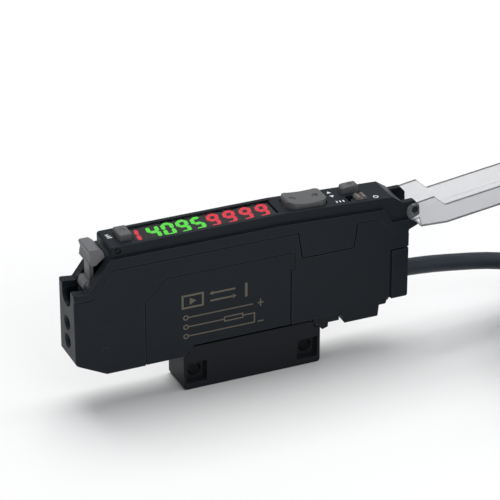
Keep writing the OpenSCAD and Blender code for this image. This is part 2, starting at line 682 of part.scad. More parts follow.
// Domed device in a square body with two legs that reach the main board's edge
module light_device(z) {
    body_l = device_l;
    gap = 0.1;
    block([device_x + 1.2, -device_w / 2 + gap, z - device_w / 2 + gap],
        [device_x + 1.2 + body_l, device_w / 2 - gap, z + device_w / 2 - gap]);
    rod(device_x + 0.4, 0, z, 1.4, 1.2);
    for (dz = [-0.8, 0.8]) block([device_x + 1.2 + body_l - 0.1, board_y - 0.42, z + dz - 0.2],
        [board_x + 0.8, board_y - 0.02, z + dz + 0.2]);
}

module emitter() color(lit_red) in_frame() light_device(fibre_z[1]);

module photodiode() color(panel_grey) in_frame() light_device(fibre_z[0]);

module display_window() color(smoke) in_frame()
    block([display_x + run_gap, run_gap - display_w / 2, window_z],
        [window_end, display_w / 2 - run_gap, window_top]);

module display_module() color(panel_grey) in_frame() difference() {
    block([module_x, -module_w / 2, board_z + board_t], [module_x + module_l, module_w / 2, window_z]);
    // Shallow well that the lit segments lie in
    block([module_x + well_rim, -module_w / 2 + well_rim, digit_z],
        [module_x + module_l - well_rim, module_w / 2 - well_rim, cap_z]);
}

// One lit segment: a bar with pointed ends, from a to b
module segment(a, b) {
    d = unit(b - a);
    n = [-d[1], d[0]] * segment_w / 2;
    c = d * segment_w / 2;
    g = d * 0.1;
    polygon([a + g, a + g + c + n, b - g - c + n, b - g, b - g - c - n, a + g + c - n]);
}

// A numeral at x from the names of its lit segments
module numeral(x, lean, lit) {
    w = digit_w - segment_w;
    h = (digit_h - segment_w) / 2;
    ends = [["a", [0, 2 * h], [w, 2 * h]], ["b", [w, 2 * h], [w, h]], ["c", [w, h], [w, 0]],
        ["d", [0, 0], [w, 0]], ["e", [0, h], [0, 0]], ["f", [0, 2 * h], [0, h]], ["g", [0, h], [w, h]]];
    translate([x, -h, digit_z]) linear_extrude(digit_t)
        multmatrix([[1, tan(lean), 0, 0], [0, 1, 0, 0], [0, 0, 1, 0], [0, 0, 0, 1]])
        for (e = ends) if (len(search(e[0], lit)) > 0) segment(e[1], e[2]);
}

module green_digits() color(lit_green) in_frame() {
    glyphs = ["bcfg", "abcdef", "abcdfg", "acdfg"];
    for (i = [0 : 3]) numeral(green_x + i * green_pitch, green_lean, glyphs[i]);
}

module red_digits() color(lit_red) in_frame() {
    numeral(one_x, green_lean, "bc");
    for (i = [0 : 3]) numeral(red_x + i * red_pitch, red_lean, "abcdfg");
}

module display_board() color(board_green) in_frame()
    block([cheek_l + 1.2, -cap_in / 2 + 0.1, board_z], [cap_end - 1.6, cap_in / 2 - 0.1, board_z + board_t]);

module main_board() color(board_green) in_frame()
    block([board_x, board_y, floor_z + 0.05], [block_x - wall - 1.4, board_y + board_t, board_z - 1.6]);

// Pin row between the boards
module board_link() color(pin_metal) in_frame() {
    link_x = kink_x - 4;
    pins = 6;
    block([link_x - 0.8, board_y - 1.8, board_z - 1.2],
        [link_x + pins * 1.3, board_y - 0.02, board_z - 0.02]);
    for (i = [0 : pins - 1]) block([link_x + i * 1.3, board_y - 0.5, board_z - 3.4],
        [link_x + i * 1.3 + 0.4, board_y - 0.02, board_z - 1]);
}

// A key's body between z0 and its top, which rises from up to high along x, with rounded top edges
module pillow(l, w, r, z0, up, high, edge) intersection() {
    rounded_prism(0, 0, l, w, r, z0, high);
    slab([[-l / 2, z0], [l / 2, z0], [l / 2, high, edge], [-l / 2, up, edge]], 2 * w);
    rotate([0, 0, 90]) slab([[-w / 2, z0], [w / 2, z0], [w / 2, high, edge], [-w / 2, high, edge]], 2 * l);
}

// A push key with a flange under the cap and a finger dimple
module key(l, w, r, up, high, edge, dimple) difference() {
    union() {
        pillow(l, w, r, -plate_t - 0.4, up, high, edge);
        translate([0, 0, -plate_t - under_gap - flange_t])
            rounded_prism(0, 0, l + 2 * key_flange, w + 0.8 * key_flange, r, 0, flange_t);
    }
    translate([0, 0, (up + high) / 2 + dimple]) sphere(dimple + 0.35);
}

module set_button() color(key_grey) in_frame() translate([set_x, 0, cap_z])
    key(set_l, set_w, key_r, set_up, set_up, key_edge, 0.6);

module mode_button() color(key_grey) in_frame() on_panel(mode_x) translate([0, mode_y, 0])
    key(mode_l, mode_w, key_r, mode_up, mode_up + mode_rise, mode_edge, 0.5);

// A tact switch on the display board, its plunger just under a key
module tact(x, y, top, w) {
    block([x - w / 2, y - w / 2, board_z + board_t], [x + w / 2, y + w / 2, top - 0.5]);
    translate([x, y, board_z + board_t]) cylinder(r = 0.5, h = top - board_z - board_t);
}

module set_switch() color(panel_grey) in_frame() tact(set_x, 0, set_foot_z - key_travel - press_gap, 3);

module mode_switch() color(panel_grey) in_frame()
    tact(mode_x, mode_y, mode_foot_z - key_travel - press_gap, 2.2);

module rocker_button() color(key_grey) in_frame() {
    difference() {
        on_panel(rocker_x)
            pillow(rocker_l, rocker_w, rocker_r, -plate_t - rocker_pin_r - 1, rocker_up, rocker_up,
                rocker_edge);
        // Hollowed top and two finger dimples
        on_panel(rocker_x) bar(0, rocker_up - hollow_d + hollow_r, hollow_r, 2 * case_t);
        on_panel(rocker_x) for (i = [-1, 1])
            translate([i * 0.27 * rocker_l, 0, rocker_up - 0.1]) sphere(dimple_r);
        block([0, -case_t, 0], [2 * case_l, case_t, rocker_foot_z]);
    }
    bar(rocker_x, rocker_pivot_z, rocker_pin_r, cap_in + 0.7);
}

module rocker_switches() color(panel_grey) in_frame() for (i = [-1, 1])
    tact(rocker_x + i * 0.3 * rocker_l, 0, rocker_foot_z - 0.3, 2.4);

module slide_knob() color(key_grey) in_frame() on_panel(slot_x) translate([knob_x - slot_x, slot_y, 0]) {
    rounded_prism(0, 0, knob_l, knob_w, 0.2, -plate_t - under_gap - flange_t, knob_up);
    translate([0, 0, -plate_t - under_gap - flange_t])
        rounded_prism(0, 0, knob_l + 0.6, knob_w + 0.4, 0.2, 0, flange_t);
    // Two ridges for the finger tip
    for (i = [-1, 1]) bar(i * 0.27 * knob_l, knob_up, ridge_up, knob_w - 0.2);
}

module slide_switch() color(pin_metal) in_frame()
    block([slot_x - 3, slot_y - 1.1, board_z + board_t],
        [slot_x + 3, slot_y + 1.6, panel_z(slot_x + 3) - plate_t - under_gap - flange_t - 0.35]);

// Three cores from the cable's inner end, up past the board's face to their pads
module inner_wires() color(lit_red) in_frame() for (i = [0 : 2]) {
    wire_r = 0.45;
    pad_x = block_x - wall - 3.2;
    wire_z = cable_z + (i - 1) * 1.25;
    rod(pad_x, 0, wire_z, wire_r, cord_route[0][0] + foot_mid - pad_x);
    translate([pad_x, 0, wire_z]) sphere(wire_r);
    translate([pad_x, board_y, wire_z]) rotate([90, 0, 0]) cylinder(r = wire_r, h = board_y);
}

module cable_bush() color(cable_black) in_frame() difference() {
    rod(block_x + 1, 0, cable_z, bush_r, end_block_l - 1 + bush_lip);
    rod(0, 0, cable_z, cable_d / 2 + 0.08, 2 * case_l);
}

// Corners of a round tube's rings, square to its path
function along(pts, i) = unit(pts[min(i + 1, len(pts) - 1)] - pts[max(i - 1, 0)]);
function ring(c, d, r) = let (u = unit(cross(d, [0, 0, 1])), v = cross(u, d))
    [for (k = [0 : sides - 1]) c + r * (u * cos(360 * k / sides) + v * sin(360 * k / sides))];

module tube(pts, r) sweep([for (i = [0 : len(pts) - 1]) ring(pts[i], along(pts, i), r)]);

module cable() color(cable_black) tube(cord_route, cable_d / 2);

module at_coil() translate([coil_at[0], coil_at[1], 0]) children();

// Wound length of the cable: full layers, and three turns on top of them
module cable_coil() color(cable_black) at_coil() rotate_extrude() polygon(outline([[coil_in, tie_t, 1.5],
    [coil_out, tie_t, 1.5], [coil_out, shelf_z, 1.5], [shelf_r, shelf_z], [shelf_r, coil_top, 1.5],
    [coil_in, coil_top, 1.5]]));

// Strap round all the turns
module coil_tie() color(part_white) at_coil() rotate([0, 0, tie_turn]) rotate_extrude(angle = tie_angle)
    difference() {
        translate([coil_in - tie_t, 0]) square([coil_out - coil_in + 2 * tie_t, coil_top + tie_t]);
        translate([coil_in - run_gap, tie_t - run_gap])
            square([coil_out - coil_in + 2 * run_gap, coil_top - tie_t + 2 * run_gap]);
    }

// Stripped cores at the cable's far end, laid on the full layers
module cable_cores() color(pin_metal) at_coil() for (i = [-1 : 1])
    translate([0, 0, shelf_z + core_r + 0.02]) rotate([0, 0, core_turn[0]])
        rotate_extrude(angle = core_turn[1] - core_turn[0])
            translate([shelf_r + cable_d / 2 + 2.2 * core_r * i, 0]) circle(core_r);

lower_case();
upper_case();
end_block();
mounting_bracket();
rail_claw();
dust_cover();
fibre_lock_lever();
fibre_clamp();
optical_block();
emitter();
photodiode();
display_window();
display_module();
green_digits();
red_digits();
display_board();
main_board();
board_link();
set_button();
set_switch();
rocker_button();
rocker_switches();
mode_button();
mode_switch();
slide_knob();
slide_switch();
inner_wires();
cable_bush();
cable();
cable_coil();
coil_tie();
cable_cores();
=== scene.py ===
import json
import math

import bmesh
import bpy
from mathutils import Matrix, Vector


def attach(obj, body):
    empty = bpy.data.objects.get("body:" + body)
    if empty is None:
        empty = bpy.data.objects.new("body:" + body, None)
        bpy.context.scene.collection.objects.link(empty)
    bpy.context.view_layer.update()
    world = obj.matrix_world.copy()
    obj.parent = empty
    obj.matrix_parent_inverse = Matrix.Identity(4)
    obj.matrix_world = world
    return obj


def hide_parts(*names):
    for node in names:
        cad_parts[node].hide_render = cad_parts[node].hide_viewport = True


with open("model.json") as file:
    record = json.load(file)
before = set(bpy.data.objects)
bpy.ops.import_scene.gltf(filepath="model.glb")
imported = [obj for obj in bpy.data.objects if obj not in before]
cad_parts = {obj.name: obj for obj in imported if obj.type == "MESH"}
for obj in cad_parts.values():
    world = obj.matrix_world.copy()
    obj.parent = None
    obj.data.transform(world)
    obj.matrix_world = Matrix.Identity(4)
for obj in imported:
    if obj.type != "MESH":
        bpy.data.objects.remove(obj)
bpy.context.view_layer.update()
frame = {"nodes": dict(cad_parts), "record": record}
nodes = frame["nodes"]
mm = 0.001  # the pieces below are in millimetres; camera, lamps and floor are in metres

# Camera, at the photograph's angle
camera = dict(place=(-0.21616, -0.49869, 0.31629), heading=23.563, fall=27.833, lens=203.08, sensor=36,
              clipStart=0.01)


def makeCamera():
    heading = math.radians(camera["heading"])
    fall = math.radians(camera["fall"])
    level = math.cos(fall)
    right = Vector((math.cos(heading), -math.sin(heading), 0))
    ahead = Vector((math.sin(heading) * level, math.cos(heading) * level, -math.sin(fall)))
    turn = Matrix((right, right.cross(ahead), -ahead)).transposed()
    data = bpy.data.cameras.new("camera")
    data.lens = camera["lens"]
    data.sensor_width = camera["sensor"]
    data.clip_start = camera["clipStart"]
    shooter = bpy.data.objects.new("camera", data)
    shooter.matrix_world = Matrix.Translation(camera["place"]) @ turn.to_4x4()
    bpy.context.scene.collection.objects.link(shooter)
    bpy.context.scene.camera = shooter


makeCamera()
print("camera set")

# Cable: out of the bush, down to the floor and into the tied coil
cable = dict(
    diameter=4,
    length=2000,
    # the points of the solid's own route
    route=[(37.4, 0, 16.6), (40, 0, 16.6), (46, 0, 16.104), (53, 0, 15.14), (60, 0, 13.972),
           (67, -0.2, 12.22), (74, -0.6, 9.738), (81, -1.2, 7.402), (90.4, -2.8, 4.482),
           (98.4, -6.2, 2.73), (105.1, -11.4, 2.146), (110, -18.2, 2), (112.4, -25.8, 2.219),
           (112.8, -32, 2.511)],
    routeSteps=2,
    coilMiddle=(84, -36),
    stepAngle=10,
)
# Each layer of the coil: its height, the radius of its turns from first to last,
# and the angles of each run and crossing
coilLayers = [
    dict(z=2.6, turns=(28.5, 24.5, 20.5, 16.5), first=290, run=290, cross=70, last=220, rise=60),
    dict(z=6.6, turns=(16.5, 20.5, 24.5, 28.5), first=220, run=290, cross=70, last=220, rise=60),
    dict(z=10.6, turns=(28.5, 24.5, 20.5, 16.5), first=230, run=295, cross=65, last=220, rise=65),
    dict(z=14.6, turns=(16.5, 20.5, 24.5), first=215, run=290, cross=70, last=292, rise=0),
]
# Stripped cores, from the sheath's end out to the row of turns below, each with a bare tip
cores = dict(colours=("Brown", "Black", "Blue"), radius=0.6, middle=28.5, apart=1.32, z=13.22, bunch=0.95,
             stepAngle=4, dropAngle=38, endAngle=70, tipAngle=8, tipSteps=4, tipShare=0.62)
# Nylon tie: its corners in the coil's section from the middle outwards, the blunt ones by number,
# and its head on top
tie = dict(corners=[(13.5, 0), (31.1, 0), (31.1, 11.7), (25.6, 17.2), (13.5, 17.2)], blunt=(2, 3),
           squareRound=2.6, bluntRound=1.08, cornerSteps=6, thick=0.55, wide=5.5, angle=206.5,
           head=(5.2, 7.2, 2.9), headMiddle=(20.5, 0, 18.1), headRound=0.5, headSteps=3)
curveRoundness = 5  # gives the cable and its cores 14 sides


def easeInOut(t):
    return t * t * (3 - 2 * t)


def coilPoint(angle, radius, z):
    turn = math.radians(angle)
    x, y = cable["coilMiddle"]
    return Vector((x + radius * math.cos(turn), y + radius * math.sin(turn), z))


def coilStretches():
    for i, layer in enumerate(coilLayers):
        turns, z = layer["turns"], layer["z"]
        yield layer["first"], turns[0], z
        for n, radius in enumerate(turns[1:]):
            yield layer["cross"], radius, z
            yield (layer["last"] if n == len(turns) - 2 else layer["run"]), radius, z
        if layer["rise"]:
            yield layer["rise"], turns[-1], coilLayers[i + 1]["z"]


def windCoil():
    angle, radius, z = 0, coilLayers[0]["turns"][0], coilLayers[0]["z"]
    points = [coilPoint(angle, radius, z)]
    for sweep, toRadius, toZ in coilStretches():
        steps = math.ceil(sweep / cable["stepAngle"])
        for n in range(1, steps + 1):
            share = easeInOut(n / steps)
            points.append(coilPoint(angle - sweep * n / steps, radius + (toRadius - radius) * share,
                                    z + (toZ - z) * share))
        angle, radius, z = angle - sweep, toRadius, toZ
    return points, angle


def roundCurve(name, points, radius):
    data = bpy.data.curves.new(name, "CURVE")
    data.dimensions = "3D"
    data.bevel_depth = 1  # each point carries the radius
    data.bevel_resolution = curveRoundness
    data.use_fill_caps = True
    spline = data.splines.new("POLY")
    spline.points.add(len(points) - 1)
    for point, place in zip(spline.points, points):
        point.co = (*(Vector(place) * mm), 1)
        point.radius = radius * mm
    spline.use_smooth = True
    piece = bpy.data.objects.new(name, data)
    bpy.context.scene.collection.objects.link(piece)
    return piece


# Turns a filled outline into a line of that width inside it
def openStroke(shape, verts, line):
    inner = list({face for vert in verts for face in vert.link_faces})
    bmesh.ops.inset_region(shape, faces=inner, thickness=line, use_boundary=True, use_even_offset=True)
    bmesh.ops.delete(shape, geom=inner, context="FACES")


def thicken(shape, step):
    raised = bmesh.ops.extrude_face_region(shape, geom=shape.faces[:])["geom"]
    verts = [part for part in raised if isinstance(part, bmesh.types.BMVert)]
    bmesh.ops.translate(shape, vec=step, verts=verts)


def finishShape(shape, name, place):
    bmesh.ops.recalc_face_normals(shape, faces=shape.faces)
    bmesh.ops.transform(shape, matrix=place, verts=shape.verts)
    mesh = bpy.data.meshes.new(name)
    shape.to_mesh(mesh)
    shape.free()
    piece = bpy.data.objects.new(name, mesh)
    bpy.context.scene.collection.objects.link(piece)
    return piece


# A smooth curve through all the points
def smoothRoute(points):
    places = [Vector(p) for p in points]
    route = [places[0]]
    for i in range(len(places) - 1):
        before, a, b = places[max(i - 1, 0)], places[i], places[i + 1]
        after = places[min(i + 2, len(places) - 1)]
        for n in range(1, cable["routeSteps"] + 1):
            t = n / cable["routeSteps"]
            route.append(0.5 * (2 * a + (b - before) * t + (2 * before - 5 * a + 4 * b - after) * t ** 2
                                + (3 * a - before - 3 * b + after) * t ** 3))
    return route


def makeCable():
    coil, endAngle = windCoil()
    lead = smoothRoute(cable["route"] + [tuple(coil[0]), tuple(coil[1])])
    points = lead[:-1 - cable["routeSteps"]] + coil  # the lead stops short of the coil's first point
    length = sum((b - a).length for a, b in zip(points, points[1:]))
    piece = roundCurve("cableSheath", points, cable["diameter"] / 2)
    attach(piece, "case")
    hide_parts("cable", "cable_coil")
    print("cable: %d points, %.3f m" % (len(points), length * mm))
    return piece, endAngle


def makeCores(endAngle):
    pieces = []
    outer = coilLayers[-1]["turns"][-1]
    top = coilLayers[-1]["z"]
    for i, colour in enumerate(cores["colours"]):
        side = i - 1
        radius = outer + cores["bunch"] * side
        toRadius = cores["middle"] + cores["apart"] * side
        points = []
        angle = endAngle + cores["stepAngle"]
        while angle > cores["endAngle"]:
            share = easeInOut(min(max((endAngle - angle) / cores["dropAngle"], 0), 1))
            points.append(coilPoint(angle, radius + (toRadius - radius) * share,
                                    top + (cores["z"] - top) * share))
            angle -= cores["stepAngle"]
        piece = roundCurve("core" + colour, points, cores["radius"])
        tipStart = angle + cores["stepAngle"]
        tipPoints = [coilPoint(tipStart - cores["tipAngle"] * n / cores["tipSteps"], toRadius, cores["z"])
                     for n in range(cores["tipSteps"] + 1)]
        tip = roundCurve("coreTip" + colour, tipPoints, cores["radius"] * cores["tipShare"])
        for part, slot in ((piece, "core_plastic"), (tip, "contact_metal")):
            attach(part, "case")
            pieces.append(part)
        if side == 0:
            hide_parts("cable_cores")
    return pieces


# The strap is a rounded loop, drawn across the coil and extruded to its width
def makeTie():
    shape = bmesh.new()
    corners = [shape.verts.new((r, -tie["wide"] / 2, z)) for r, z in tie["corners"]]
    shape.faces.new(corners)
    blunt = [corners[i] for i in tie["blunt"]]
    square = [vert for vert in corners if vert not in blunt]
    for verts, reach in ((square, tie["squareRound"]), (blunt, tie["bluntRound"])):
        bmesh.ops.bevel(shape, geom=verts, affect="VERTICES", offset=reach, segments=tie["cornerSteps"],
                        profile=0.5, material=-1)
    openStroke(shape, shape.verts, tie["thick"])
    thicken(shape, (0, tie["wide"], 0))
    head = bmesh.ops.create_cube(shape, size=1)["verts"]
    bmesh.ops.scale(shape, vec=tie["head"], verts=head)
    bmesh.ops.translate(shape, vec=tie["headMiddle"], verts=head)
    edges = list({edge for vert in head for edge in vert.link_edges})
    bmesh.ops.bevel(shape, geom=edges, affect="EDGES", offset=tie["headRound"], segments=tie["headSteps"],
                    profile=0.5, material=-1)
    middle = Matrix.Translation((*cable["coilMiddle"], 0))
    turn = Matrix.Rotation(math.radians(tie["angle"]), 4, "Z")
    piece = finishShape(shape, "coilStrap", Matrix.Scale(mm, 4) @ middle @ turn)
    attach(piece, "case")
    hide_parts("coil_tie")
    return piece


cablePiece, cableEnd = makeCable()
tiePiece = makeTie()
corePieces = makeCores(cableEnd % 360)
print("cable laid")

# Shader pieces; noise scales are per metre
grainLook = dict(cloudScale=130, cloudDetail=3, cloudRange=(0.3, 0.7), roughChange=0.05,
                 grainDetail=2, grainRoughness=0.6, bumpStrength=0.35, bumpDepth=0.03)
edgeWearAndLightLook = dict(samples=4, patchScale=420, patchDetail=4, flatDot=0.995, fullEdgeDot=0.8,
               mouldedRadius=0.3, clearRadius=0.6)
mixSockets = dict(first=6, second=7, result=2)  # the mix node's colour sockets, which share their names


def addNode(tree, kind, values=None, links=None):
    node = tree.nodes.new(kind)
    for key, value in (values or {}).items():
        if isinstance(key, str) and key not in node.inputs:
            setattr(node, key, value)
        else:
            node.inputs[key].default_value = value
    for key, source in (links or {}).items():
        tree.links.new(source, node.inputs[key])
    return node


# Each colour is an output to link or a plain tint
def mixColours(tree, factor, first, second):
    mix = addNode(tree, "ShaderNodeMix", {"data_type": "RGBA"}, {"Factor": factor})
    for key, colour in (("first", first), ("second", second)):
        socket = mix.inputs[mixSockets[key]]
        if isinstance(colour, tuple):
            socket.default_value = (*colour, 1)
        else:
            tree.links.new(colour, socket)
    return mix.outputs[mixSockets["result"]]


def newGroup(name, inputs, outputs):
    group = bpy.data.node_groups.new(name, "ShaderNodeTree")
    for label, kind in inputs:
        group.interface.new_socket(label, in_out="INPUT", socket_type="NodeSocket" + kind)
    for label, kind in outputs:
        group.interface.new_socket(label, in_out="OUTPUT", socket_type="NodeSocket" + kind)
    return group, group.nodes.new("NodeGroupInput"), group.nodes.new("NodeGroupOutput")


# Moulded plastic: slow clouds in the colour and gloss, and a fine spark-eroded grain
def makeMouldedGrain():
    group, given, out = newGroup(
        "mouldedGrain",
        [("Tint", "Color"), ("Cloud", "Color"), ("Rough", "Float"), ("Grain", "Float")],
        [("Colour", "Color"), ("Roughness", "Float"), ("Height", "Float")])
    place = addNode(group, "ShaderNodeTexCoord").outputs["Object"]
    clouds = addNode(group, "ShaderNodeTexNoise",
                     {"Scale": grainLook["cloudScale"], "Detail": grainLook["cloudDetail"]},
                     {"Vector": place}).outputs["Fac"]
    grain = addNode(group, "ShaderNodeTexNoise",
                    {"Detail": grainLook["grainDetail"], "Roughness": grainLook["grainRoughness"]},
                    {"Vector": place, "Scale": given.outputs["Grain"]})
    colour = mixColours(group, clouds, given.outputs["Tint"], given.outputs["Cloud"])
    low, high = grainLook["cloudRange"]
    change = addNode(group, "ShaderNodeMapRange",
                     {"From Min": low, "From Max": high, "To Min": -grainLook["roughChange"],
                      "To Max": grainLook["roughChange"]}, {"Value": clouds})
    total = addNode(group, "ShaderNodeMath", {"operation": "ADD"},
                    {0: given.outputs["Rough"], 1: change.outputs["Result"]})
    group.links.new(colour, out.inputs["Colour"])
    group.links.new(total.outputs["Value"], out.inputs["Roughness"])
    group.links.new(grain.outputs["Fac"], out.inputs["Height"])
    return group


# Edge tint where the rounded normal leaves the flat one, in uneven patches: partly wear, partly painted
# light, a painted highlight where the tint is lighter and painted shade where it is darker
def makeEdgeWearAndLight():
    group, given, out = newGroup("edgeWearAndLight", [("Radius", "Float")], [("Mask", "Float")])
    rounded = addNode(group, "ShaderNodeBevel", {"samples": edgeWearAndLightLook["samples"]},
                      {"Radius": given.outputs["Radius"]})
    face = addNode(group, "ShaderNodeNewGeometry")
    dot = addNode(group, "ShaderNodeVectorMath", {"operation": "DOT_PRODUCT"},
                  {0: rounded.outputs["Normal"], 1: face.outputs["Normal"]})
    place = addNode(group, "ShaderNodeTexCoord")
    patches = addNode(group, "ShaderNodeTexNoise",
                      {"Scale": edgeWearAndLightLook["patchScale"], "Detail": edgeWearAndLightLook["patchDetail"]},
                      {"Vector": place.outputs["Object"]})
    edge = addNode(group, "ShaderNodeMapRange",
                   {"From Min": edgeWearAndLightLook["flatDot"], "From Max": edgeWearAndLightLook["fullEdgeDot"]},
                   {"Value": dot.outputs["Value"]})
    mask = addNode(group, "ShaderNodeMath", {"operation": "MULTIPLY"},
                   {0: edge.outputs["Result"], 1: patches.outputs["Fac"]})
    group.links.new(mask.outputs["Value"], out.inputs["Mask"])
    return group


mouldedGrain = makeMouldedGrain()
edgeWearAndLight = makeEdgeWearAndLight()


def startMaterial(name):
    material = bpy.data.materials.new(name)
    material.use_nodes = True
    tree = material.node_tree
    return material, tree, tree.nodes["Principled BSDF"]


def useGroup(tree, group, values):
    node = addNode(tree, "ShaderNodeGroup")
    node.node_tree = group
    for key, value in values.items():
        node.inputs[key].default_value = value
    return node


# A material with the moulded grain's roughness; each finish links the colour and the height itself
def startSkin(name, tint, cloud, rough, grain=0):
    material, tree, shader = startMaterial(name)
    skin = useGroup(tree, mouldedGrain,
                    {"Tint": (*tint, 1), "Cloud": (*cloud, 1), "Rough": rough, "Grain": grain}).outputs
    tree.links.new(skin["Roughness"], shader.inputs["Roughness"])
    return material, tree, shader, skin


# Mixes the edge tint in along the edges: wear with painted light, a painted highlight where the tint is
# lighter, painted shade where it is darker
def paintEdgeWearAndLight(tree, colour, edgeWearAndPaintedLight, radius):
    if not edgeWearAndPaintedLight:
        return colour
    wearAndLightMask = useGroup(tree, edgeWearAndLight, {"Radius": radius * mm})
    return mixColours(tree, wearAndLightMask.outputs["Mask"], colour, edgeWearAndPaintedLight)


# A moulded finish; its edge tint is the colour of its worn edges and, being lighter, also a painted
# highlight along them
def mouldedFinish(name, tint, cloud, rough, grain=3500, edgeWearAndPaintedLight=None, sheen=0.3):
    material, tree, shader, skin = startSkin(name, tint, cloud, rough, grain)
    colour = paintEdgeWearAndLight(tree, skin["Colour"], edgeWearAndPaintedLight, edgeWearAndLightLook["mouldedRadius"])
    bump = addNode(tree, "ShaderNodeBump",
                   {"Strength": grainLook["bumpStrength"], "Distance": grainLook["bumpDepth"] * mm},
                   {"Height": skin["Height"]})
    tree.links.new(colour, shader.inputs["Base Color"])
    tree.links.new(bump.outputs["Normal"], shader.inputs["Normal"])
    shader.inputs["Specular IOR Level"].default_value = sheen
    return material


# Clear plastics keep a plain transmission, and only their tint and gloss vary; soak is the loss per metre
# inside, and a dark edge tint, where given, is painted shade along their edges
clearIor = 1.49


def clearFinish(name, tint, cloud, rough, clear=1.0, soak=0, soakTint=(1, 1, 1), sheen=0.5, edgeWearAndPaintedLight=None):
    material, tree, shader, skin = startSkin(name, tint, cloud, rough)
    colour = paintEdgeWearAndLight(tree, skin["Colour"], edgeWearAndPaintedLight, edgeWearAndLightLook["clearRadius"])
    tree.links.new(colour, shader.inputs["Base Color"])
    shader.inputs["Transmission Weight"].default_value = clear
    shader.inputs["IOR"].default_value = clearIor
    shader.inputs["Specular IOR Level"].default_value = sheen
    if soak:
        inside = addNode(tree, "ShaderNodeVolumeAbsorption", {"Color": (*soakTint, 1), "Density": soak})
        tree.links.new(inside.outputs["Volume"], tree.nodes["Material Output"].inputs["Volume"])
    return material


# Lit segments: the light varies a little over the diffuser, which is dark itself
litLook = dict(rough=0.5, body=(0.02, 0.02, 0.02))


def litFinish(name, tint, cloud, power):
    material, tree, shader, skin = startSkin(name, tint, cloud, litLook["rough"])
    tree.links.new(skin["Colour"], shader.inputs["Emission Color"])
    shader.inputs["Base Color"].default_value = (*litLook["body"], 1)
    shader.inputs["Emission Strength"].default_value = power
    return material


# Circuit board: solder mask with tracks and pads
boardLook = dict(trackScale=900, trackWidth=0.03, trackTint=(0.03, 0.2, 0.07),
                 maskTints=((0.012, 0.09, 0.035), (0.016, 0.11, 0.045)), rough=0.38,
                 padScale=700, padEdge=(0.14, 0.12), padTint=(0.62, 0.6, 0.55),
                 padStrength=0.4, padHeight=0.04)


def boardFinish(name):
    material, tree, shader = startMaterial(name)
    place = addNode(tree, "ShaderNodeTexCoord").outputs["Object"]
    first, second = boardLook["maskTints"]
    tracks = addNode(tree, "ShaderNodeTexBrick",
                     {"Scale": boardLook["trackScale"], "Mortar Size": boardLook["trackWidth"],
                      "Color1": (*first, 1), "Color2": (*second, 1),
                      "Mortar": (*boardLook["trackTint"], 1)}, {"Vector": place})
    spots = addNode(tree, "ShaderNodeTexVoronoi", {"Scale": boardLook["padScale"]}, {"Vector": place})
    outside, inside = boardLook["padEdge"]
    pads = addNode(tree, "ShaderNodeMapRange", {"From Min": outside, "From Max": inside},
                   {"Value": spots.outputs["Distance"]}).outputs["Result"]
    colour = mixColours(tree, pads, tracks.outputs["Color"], boardLook["padTint"])
    bump = addNode(tree, "ShaderNodeBump",
                   {"Strength": boardLook["padStrength"], "Distance": boardLook["padHeight"] * mm},
                   {"Height": pads})
    tree.links.new(colour, shader.inputs["Base Color"])
    tree.links.new(pads, shader.inputs["Metallic"])
    tree.links.new(bump.outputs["Normal"], shader.inputs["Normal"])
    shader.inputs["Roughness"].default_value = boardLook["rough"]
    return material


# Plated metal, with clouds in its colour and gloss
def metalFinish(name, tint, cloud, rough):
    material, tree, shader, skin = startSkin(name, tint, cloud, rough)
    tree.links.new(skin["Colour"], shader.inputs["Base Color"])
    shader.inputs["Metallic"].default_value = 1
    return material


